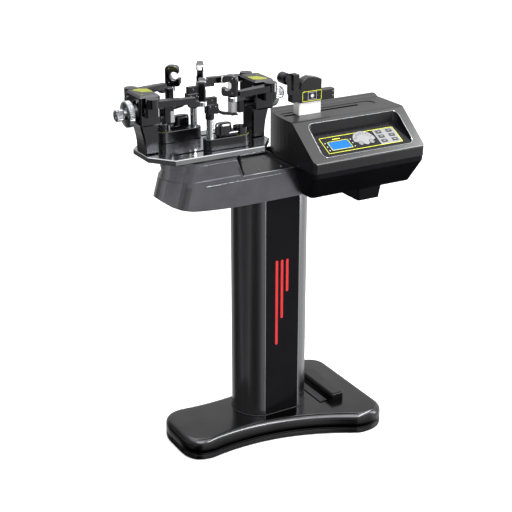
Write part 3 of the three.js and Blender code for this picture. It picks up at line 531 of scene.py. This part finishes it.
def make_knob(side, name):
    """Two knurled grips, a polished shoulder between them and a recess in the end."""
    place = basis(on_end(side, 0, 0, SCREW_AXIS), Y * side, Z)
    wheel, grip = 34.6, 16
    profile = [(6, 108), (6, 137), (8, 137.2), (8, 197.5), (24, 197.6), (24, 203), (30.5, 203.2),
               (33.6, 205.2), (wheel, 206), (wheel, 218), (33.6, 219.4), (30, 221), (19, 221.2),
               (13, 221.6), (13, 226), (15.4, 226.6), (grip, 227.4), (grip, 244.6), (15, 246),
               (10.5, 247.8), (9.5, 247.6), (9, 244), (3, 243.6)]
    toothed = [i for i, (radius, _) in enumerate(profile) if radius in (wheel, grip)]
    rings = [(r * MM, h * MM) for r, h in profile]
    bm = bmesh.new()
    add_turned(bm, rings, place, segments=288, teeth=48, depth=1.6 * MM, toothed=toothed)
    knob = piece_from(f"knurled_knob_{name}", bm, "knurl", f"knob_{name}")
    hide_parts(f"knob_{name}")


def make_post_details(side, name):
    """A printed wedge and dot on the post's top, and two screws in each end of it."""
    place = end_basis(side, 0, 0, POST_TOP + 0.02, X, Y * side)
    wedge = [(143, -26), (160, -36), (176, -36), (184, -28), (170, 2), (143, 8)]
    bm = bmesh.new()
    add_plate(bm, [(x * MM, y * MM) for x, y in wedge], place, PRINT)
    add_plate(bm, circle(180 * MM, 22 * MM, 2.4 * MM), place, PRINT)
    piece_from(f"post_print_{name}", bm, "accent", "turntable")

    bm = bmesh.new()
    for x, half_pitch, z, out in ((138, 33, 1036, -X), (197, 30, 1038, X)):
        for y in (-half_pitch, half_pitch):
            add_cap_screw(bm, on_end(side, x, y, z), out * side, 3.2 * MM)
    piece_from(f"post_screws_{name}", bm, "knurl", "turntable")


def make_mount_pads(side, name):
    """A white pad on the centre mount's nose, and a pale sleeve round the nose's lower part."""
    mount = f"centre_mount_{name}"
    place = end_basis(side, 83.6, 0, 1030, Y, Z)
    bm = bmesh.new()
    add_plate(bm, rect(-8.5, -18, 8.5, 22, 3), place, 1.4 * MM)
    piece_from(f"mount_pad_{name}", bm, "white", mount, 0.5 * MM)

    # The sleeve is a U, open towards the knob's screw.
    place = end_basis(side, 93, 0, 966, X, Y * side)
    outer = mirrored([(7, -12.3), (-5, -12.3), (-8.5, -10.8), (-10, -7.3)])
    inner = mirrored([(7, 11.1), (-4.6, 11.1), (-7.6, 9.9), (-8.9, 6.9)])
    bm = bmesh.new()
    add_plate(bm, [(x * MM, y * MM) for x, y in outer + inner], place, 30 * MM)
    piece_from(f"mount_sleeve_{name}", bm, "sleeve", mount)


# Each hook's end and side of the table, and the way its mouth faces in degrees.
HOOKS = {
    "front_left": (-1, -1, 60),
    "rear_left": (-1, 1, -45),
    "front_right": (1, -1, 135),
    "rear_right": (1, 1, -120),
}


def hook_axes(corner):
    """The hook's lower end on its pin, the way its mouth faces, and the way across the mouth."""
    end, side, degrees = HOOKS[corner]
    pin = Vector((TABLE.x + end * HOOK_X * MM, side * HOOK_Y * MM, HOOK_BOTTOM * MM))
    turn = math.radians(degrees)
    along = Vector((math.cos(turn), math.sin(turn), 0))
    return pin, along, Vector((-along.y, along.x, 0))


def make_hook_pads(corner):
    """White pads on the hook's face, below and above its mouth."""
    pin, along, across = hook_axes(corner)
    place = basis(pin + along * 26.2 * MM - across * 6 * MM, across, Z)
    bm = bmesh.new()
    for low, high in ((4, 20), (37, 50)):
        add_plate(bm, rect(0, low, 12, high, 2), place, 1.6 * MM)
    piece_from(f"hook_pads_{corner}", bm, "white", f"hook_{corner}", 0.4 * MM)


def make_hook_screws(corner):
    pin, along, across = hook_axes(corner)
    bm = bmesh.new()
    for hand in (-1, 1):
        for height in (9, 47):
            spot = pin + across * hand * 9 * MM + Z * height * MM - along * 2 * MM
            add_cap_screw(bm, spot, across * hand, 2.4 * MM)
    piece_from(f"hook_screws_{corner}", bm, "knurl", f"hook_{corner}")


def make_arm_bush(corner):
    """A bright bush on the side arm's end, round the hook's pin."""
    pin = hook_axes(corner)[0]
    section = [(11.1, -13.4), (11.6, -13.4), (12.4, -12.6), (12.4, -2.4), (11.6, -1.4), (11.1, -1.4)]
    rings = [[pin + Vector((x, y, h * MM)) for x, y in circle(0, 0, r * MM, 40)] for r, h in section]
    bm = bmesh.new()
    add_skin(bm, rings, loop=True)
    piece_from(f"arm_bush_{corner}", bm, "chrome", f"side_arm_{corner}")


def make_clamp_details(side, name):
    """The clamp's printed ring, its head's screws and its lock bolt; side is 1 on the rear slot."""
    bm = bmesh.new()
    outer, inner = circle(0, 0, 21.6 * MM, 48), circle(0, 0, 20.4 * MM, 48)
    base_top = on_end(side, LOCK_X, SLOT_Y, 925.15)
    add_frame(bm, outer, inner, Matrix.Translation(base_top), PRINT)
    piece_from(f"clamp_print_{name}", bm, "accent", f"clamp_base_{name}")

    bm = bmesh.new()
    for hand in (-1, 1):
        for x, depth, z in ((-4, 11, 1010), (12, 11, 1010), (5, 7, 1026)):
            spot = on_end(side, x, SLOT_Y + hand * depth, z)
            add_cap_screw(bm, spot, Y * hand * side, 2 * MM)
    piece_from(f"clamp_screws_{name}", bm, "knurl", f"clamp_head_{name}")

    bm = bmesh.new()
    pivot = on_end(side, LOCK_X, SLOT_Y, 0)
    pivot.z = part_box(f"lock_lever_{name}")[1].z - 16 * MM
    add_cap_screw(bm, pivot, Z, 5 * MM)
    piece_from(f"lock_bolt_{name}", bm, "black", f"lock_lever_{name}")


def make_slot_lips():
    """Raised dark lips round the clamps' slots."""
    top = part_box("turntable_plate")[1].z
    outer = rect(-114, -6, 114, 6, 5.9)
    inner = rect(-112.2, -4.3, 112.2, 4.3, 4.2)
    for side, name in ((1, "rear"), (-1, "front")):
        place = Matrix.Translation((TABLE.x, side * SLOT_Y * MM, top))
        bm = bmesh.new()
        add_frame(bm, outer, inner, place, PRINT)
        piece_from(f"slot_lip_{name}", bm, "under", "turntable")


# ------------------------------------------------------------------ control panel
SLOPE = math.radians(27)
FASCIA_RISE = 87 * MM


def panel_place(lift):
    """Panel axes: x along the box, y up the slope, z out of the fascia and lifted off it."""
    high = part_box("control_fascia")[1]
    y = high.y - FASCIA_RISE - 4 * MM * math.sin(SLOPE)
    front = Vector((0, y, high.z - FASCIA_RISE * math.tan(SLOPE)))
    up = Vector((0, math.cos(SLOPE), math.sin(SLOPE)))
    return basis(front, X, up) @ Matrix.Translation((0, 0, lift * MM))


def add_pierced_plate(bm, us, vs, place):
    """A thin plate drawn as a grid in mm, with an opening at every odd cell for a key."""
    thick = 0.3
    corner = {}

    def vert(i, k, w):
        if (i, k, w) not in corner:
            corner[i, k, w] = bm.verts.new(place @ Vector((us[i] * MM, vs[k] * MM, w * MM)))
        return corner[i, k, w]

    def solid(i, k):
        inside = 0 <= i < len(us) - 1 and 0 <= k < len(vs) - 1
        return inside and not (i % 2 == 1 and k % 2 == 1)

    for i in range(len(us) - 1):
        for k in range(len(vs) - 1):
            if not solid(i, k):
                continue
            corners = [(i, k), (i + 1, k), (i + 1, k + 1), (i, k + 1)]
            bm.faces.new([vert(*c, thick) for c in corners])
            bm.faces.new([vert(*c, 0) for c in corners[::-1]])
            beyond = [(i, k - 1), (i + 1, k), (i, k + 1), (i - 1, k)]
            for n, cell in enumerate(beyond):
                if not solid(*cell):
                    a, b = corners[n], corners[(n + 1) % 4]
                    bm.faces.new((vert(*a, 0), vert(*b, 0), vert(*b, thick), vert(*a, thick)))


def make_panel_prints():
    """Accent lines round the panel and the display and a plain bar, all in the lighter copy of the accent
    that is painted light, and pale dots by the display.
    """
    place = panel_place(0.05)
    bm = bmesh.new()
    add_frame(bm, rect(98, 16, 343, 78, 3), rect(99.6, 17.6, 341.4, 76.4, 2), place, PRINT)
    add_frame(bm, rect(115, 26, 182, 60, 2), rect(116.3, 27.3, 180.7, 58.7, 1), place, PRINT)
    add_plate(bm, rect(136, 65.5, 161, 68.5, 1.4), place, PRINT)
    piece_from("panel_print_accent", bm, "bright", "frame")

    bm = bmesh.new()
    for u, v in ((107, 56), (107, 42), (107, 28), (190, 57), (190, 43), (190, 29)):
        add_plate(bm, circle(u * MM, v * MM, 1.8 * MM, 20), place, PRINT)
    piece_from("panel_print_dots", bm, "ink", "frame")


def make_keypad_plate():
    """The pale plate round the keys."""
    # The plate's grid lines: its edges, and both sides of each column and row of keys.
    us = (272, 279.4, 298.6, 314.4, 333.6, 341)
    vs = (18, 23.9, 36.1, 41.9, 54.1, 59.9, 72.1, 75)
    bm = bmesh.new()
    add_pierced_plate(bm, us, vs, panel_place(0.05))
    piece_from("keypad_plate", bm, "plate", "frame")


def make_dial_ticks():
    """Ticks round the dial, long and short in turn."""
    centre = Vector((231 * MM, 45 * MM, 0))
    place = panel_place(1)
    bm = bmesh.new()
    for i in range(9):
        turn = math.radians(22 + 17 * i)
        spoke = Vector((math.cos(turn), math.sin(turn), 0))
        wide = Vector((-spoke.y, spoke.x, 0)) * 0.9 * MM
        start, end = centre + spoke * 23 * MM, centre + spoke * (31 if i % 2 == 0 else 28) * MM
        corners = [start + wide, start - wide, end - wide, end + wide]
        add_plate(bm, [(c.x, c.y) for c in corners], place, 0.2 * MM)
    piece_from("dial_ticks", bm, "key", "frame")


def make_key_marks():
    """A bar on each key and a ring on each round button."""
    place = panel_place(1.2)
    keys = [(u, v) for v in (66, 48, 30) for u in (289, 324)]
    for i, (u, v) in enumerate(keys, start=1):
        bm = bmesh.new()
        add_plate(bm, rect(u - 4, v - 0.6, u + 4, v + 0.6, 0.5), place, 0.15 * MM)
        piece_from(f"key_mark_{i}", bm, "ink", f"key_{i}")

    place = panel_place(1.4)
    for i, u in enumerate((213, 249), start=1):
        outer, inner = [circle(u * MM, 35 * MM, radius * MM) for radius in (4.6, 3.8)]
        bm = bmesh.new()
        add_frame(bm, outer, inner, place, 0.15 * MM)
        piece_from(f"button_mark_{i}", bm, "key", f"round_button_{i}")


# ------------------------------------------------------------------ control box and tension head
def make_box_seam():
    """A dark bead in the joint between the box's two shells."""
    low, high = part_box("box_top_cover")
    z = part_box("box_lower_body")[1].z + 0.1 * MM
    margin = 0.4 * MM
    left = low.x + 1.5 * MM
    outline = rounded(left, low.y + margin, high.x - margin, high.y - margin, 13 * MM)
    bm = bmesh.new()
    add_bead(bm, [Vector((x, y, z)) for x, y in outline], 0.7 * MM, 8, closed=True)
    piece_from("box_seam", bm, "under", "frame")


def make_box_vents():
    """Nine upright slots in the box's right end."""
    place = basis((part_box("box_top_cover")[1].x - 6 * MM, 0, 0), Y, Z)
    bm = bmesh.new()
    for i in range(9):
        y = -70 + 14 * i
        add_plate(bm, rect(y, 746, y + 5, 786, 2.4), place, 1.2 * MM)
    piece_from("box_vents", bm, "rubber", "frame")


def make_box_screws():
    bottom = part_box("box_lower_body")[0].z
    spots = [(x * MM, y * MM, bottom) for x in (90, 370) for y in (-100, 60)]
    screws("box_base_screws", spots, -Z, 4 * MM, "knurl", "frame")


def make_recess_highlight_bead():
    """A fine bright bead round the panel recess, lying on the sloping console: a painted highlight for the
    light on the recess's rounded rim.
    """
    foot_y, foot_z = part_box("box_top_cover")[0].y + 5 * MM, 845 * MM
    head_y, head_z = -70 * MM, 928 * MM
    rise = (head_z - foot_z) / (head_y - foot_y)
    outline = rounded(72 * MM, -165 * MM, 372 * MM, -76 * MM, 16 * MM, 8)
    lift = 0.4 * MM
    bm = bmesh.new()
    path = [Vector((x, y, foot_z + lift + (y - foot_y) * rise)) for x, y in outline]
    add_bead(bm, path, 0.7 * MM, 8, closed=True)
    piece_from("recess_highlight_bead", bm, "painted_highlight", "frame")


def make_tension_details():
    """A bordered print on the gripper's front, its border in the lighter copy of the accent that is painted
    light, and two screws beside it.
    """
    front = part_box("gripper_housing")[0].y
    place = basis((0, front, 0), X, Z)
    bm = bmesh.new()
    add_frame(bm, rect(90, 972, 152, 1000, 3), rect(91.2, 973.2, 150.8, 998.8, 2.4), place, PRINT)
    piece_from("tension_print_border", bm, "bright", "tension_head")
    bm = bmesh.new()
    add_frame(bm, rect(108, 976, 136, 996, 1), rect(108.7, 976.7, 135.3, 995.3, 0.8), place, PRINT)
    add_plate(bm, circle(122 * MM, 986 * MM, 5 * MM), place, PRINT)
    piece_from("tension_print_dot", bm, "ink", "tension_head")
    spots = [(189 * MM, front, z * MM) for z in (978, 990)]
    screws("tension_screws", spots, -Y, 2.6 * MM, "knurl", "tension_head")


# ------------------------------------------------------------------ finishes on the frame's own nodes
# Each node's finish, and how far its edges are rounded in mm.
LOOKS = {
    "base_shell": ("casting", 0), "base_plate": ("black", 0.5),
    "tread_outer": ("rubber", 0.4), "tread_inner": ("rubber", 0.4),
    "column_tube": ("column", 0), "column_front_panel": ("gloss", 0.2), "column_rear_panel": ("gloss", 0.2),
    "arm_housing": ("arm", 1.2), "arm_deck": ("deck", 0.4), "turntable_bearing": ("steel", 0.5),
    "box_lower_body": ("under", 1.2), "box_top_cover": ("box", 1.2), "power_inlet": ("under", 0.4),
    "power_switch": ("key", 0.5), "tension_motor": ("black", 0.5), "lead_screw": ("chrome", 0),
    "control_board": ("board", 0), "power_supply_cover": ("under", 1), "control_fascia": ("gloss", 0.3),
    "lcd_display": ("screen", 0), "dial_plate": ("dial", 0), "tension_carriage": ("white", 0.6),
    "gripper_housing": ("box", 0.6), "gripper_jaw": ("black", 0.5), "string_guide": ("black", 0.8),
    "turntable_plate": ("mirror", 0.4), "turntable_spindle": ("steel", 0.4),
}
FAMILIES = {
    "round_button": ("plate", 0.4), "key": ("key", 0.4), "post": ("post", 0.8),
    "centre_mount": ("black", 0.6), "side_arm": ("post", 5), "hook": ("post", 0.6),
    "clamp_base": ("black", 0.8), "lock_lever": ("post", 0.8), "clamp_shaft": ("chrome", 0.3),
    "clamp_head": ("black", 0.5), "clamp_lever": ("black", 0.6), "knob": ("knurl", 0),
}


def look_of(name):
    """A node's finish and rounding, by its name or by the family that its name starts with."""
    if name in LOOKS:
        return LOOKS[name]
    return next(FAMILIES[family] for family in FAMILIES if name.startswith(family + "_"))


def dress_nodes():
    for name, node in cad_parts.items():
        look, width = look_of(name)
        node.data.materials.clear()
        node.data.materials.append(FINISH[look])
        soften(node, width * MM)


# ------------------------------------------------------------------ stage, light and camera
FLOOR_SIZE = 60
BACKDROP_RADIUS = 12


def make_stage():
    bpy.ops.mesh.primitive_plane_add(size=FLOOR_SIZE, location=(0, 0, 0))
    floor = bpy.context.object
    floor.name = "floor"
    floor.data.materials.append(material("floor_paint", (0.9, 0.9, 0.9), 0.6, vary=0.01, bump=0.0))
    # Gloss mirrors the dark studio and its soft boxes instead of the bright floor.
    floor.visible_glossy = False
    bpy.context.scene.world = make_studio()
    bpy.context.scene.view_settings.view_transform = "Standard"


def add_glow(tree, source, stops):
    """Brightness along one direction of the studio: (place from 0 to 1, brightness) stops."""
    ramp = tree.nodes.new("ShaderNodeValToRGB")
    ramp.color_ramp.interpolation = "EASE"
    elements = ramp.color_ramp.elements
    while len(elements) < len(stops):
        elements.new(0.5)
    for element, (place, glow) in zip(elements, stops):
        element.position = place
        element.color = (glow, glow, glow, 1)
    link(tree, source, ramp.inputs["Fac"])
    return ramp.outputs["Color"]


def mixed(tree, how, first, second):
    node = tree.nodes.new("ShaderNodeMix")
    node.data_type = "RGBA"
    node.blend_type = how
    node.inputs["Factor"].default_value = 1
    link(tree, first, node.inputs["A"])
    link(tree, second, node.inputs["B"])
    return node.outputs["Result"]


def make_backdrop():
    """A white shell that only the camera sees, so that the studio shows in reflections alone."""
    paint = bpy.data.materials.new("backdrop_white")
    paint.use_nodes = True
    shader = paint.node_tree.nodes["Principled BSDF"]
    shader.inputs["Base Color"].default_value = (0, 0, 0, 1)
    shader.inputs["Specular IOR Level"].default_value = 0
    shader.inputs["Emission Color"].default_value = (1, 1, 1, 1)
    shader.inputs["Emission Strength"].default_value = 1
    bm = bmesh.new()
    bmesh.ops.create_uvsphere(bm, u_segments=48, v_segments=24, radius=BACKDROP_RADIUS)
    mesh = bpy.data.meshes.new("backdrop")
    bm.to_mesh(mesh)
    bm.free()
    mesh.materials.append(paint)
    backdrop = bpy.data.objects.new("backdrop", mesh)
    bpy.context.scene.collection.objects.link(backdrop)
    backdrop.visible_glossy = False
    backdrop.visible_diffuse = False
    backdrop.visible_transmission = False
    backdrop.visible_shadow = False


def make_studio():
    """A dark studio for reflections: a narrow strip at the left, a broad glow at the right, a bright
    line at the horizon and a soft box overhead."""
    world = bpy.data.worlds.new("studio")
    world.use_nodes = True
    tree = world.node_tree
    place = tree.nodes.new("ShaderNodeTexCoord")
    shift = tree.nodes.new("ShaderNodeMapping")
    shift.inputs["Location"].default_value = (0.5, 0.5, 0.5)
    shift.inputs["Scale"].default_value = (0.5, 0.5, 0.5)
    link(tree, place.outputs["Generated"], shift.inputs["Vector"])
    split = tree.nodes.new("ShaderNodeSeparateXYZ")
    link(tree, shift.outputs["Vector"], split.inputs["Vector"])
    # Along x, 0 is the far left and 1 the far right. Along z, 0.5 is the horizon.
    sides = [(0, 0.1), (0.06, 0.1), (0.075, 0.5), (0.09, 0.06), (0.2, 0.04), (0.3, 0.08), (0.4, 0.5),
             (0.5, 0.55), (0.75, 0.5), (0.84, 0.5), (0.92, 1.15), (1, 1)]
    below = [(0.12, 0), (0.28, 1)]
    overhead = [(0.49, 0), (0.5, 0.95), (0.525, 0.95), (0.54, 0.04), (0.62, 0.08), (0.68, 0.4), (0.84, 0.5),
                (0.9, 2.2), (1, 2.4)]
    across, height = split.outputs["X"], split.outputs["Z"]
    glow = mixed(tree, "MULTIPLY", add_glow(tree, across, sides), add_glow(tree, height, below))
    glow = mixed(tree, "ADD", glow, add_glow(tree, height, overhead))
    link(tree, glow, tree.nodes["Background"].inputs["Color"])
    return world


def soft_light(name, place, target, size, power):
    lamp = bpy.data.lights.new(name, "AREA")
    lamp.shape = "RECTANGLE"
    lamp.size, lamp.size_y = size
    lamp.energy = power
    made = bpy.data.objects.new(name, lamp)
    made.location = place
    made.rotation_euler = (Vector(target) - Vector(place)).to_track_quat("-Z", "Y").to_euler()
    bpy.context.scene.collection.objects.link(made)


def make_lights():
    sky = bpy.data.lights.new("sky", "SUN")
    sky.energy = 1.3
    sky.angle = math.radians(40)
    overhead = bpy.data.objects.new("sky", sky)
    overhead.rotation_euler = (math.radians(28), math.radians(-20), 0)
    bpy.context.scene.collection.objects.link(overhead)
    soft_light("column_right", (1.9, -0.9, 0.9), (0.05, 0, 0.6), (0.3, 1.7), 14)
    soft_light("shoulder", (0.75, -0.75, 1.5), (0, -0.15, 0.05), (2.2, 0.25), 32)


def make_camera():
    lens = bpy.data.cameras.new("camera")
    lens.lens = 85.1
    lens.sensor_width = 36
    camera = bpy.data.objects.new("camera", lens)
    camera.location = (-1.634, -2.757, 1.822)
    camera.rotation_euler = (math.radians(68), 0, math.radians(-30))
    bpy.context.scene.collection.objects.link(camera)
    bpy.context.scene.camera = camera


make_camera()
make_stage()
make_backdrop()
make_lights()
dress_nodes()
make_foot()
make_rail()
make_tread_ribs()
make_column_painted_highlight()
make_column_bars()
make_column_gasket()
make_arm_highlight_beads()
make_deck_screws()
for end_side, end_name in ((1, "right"), (-1, "left")):
    make_knob(end_side, end_name)
    make_post_details(end_side, end_name)
    make_mount_pads(end_side, end_name)
for corner_name in HOOKS:
    make_hook_pads(corner_name)
    make_hook_screws(corner_name)
    make_arm_bush(corner_name)
make_clamp_details(1, "left")
make_clamp_details(-1, "right")
make_slot_lips()
make_panel_prints()
make_keypad_plate()
make_dial_ticks()
make_key_marks()
make_box_seam()
make_box_vents()
make_box_screws()
make_recess_highlight_bead()
make_tension_details()
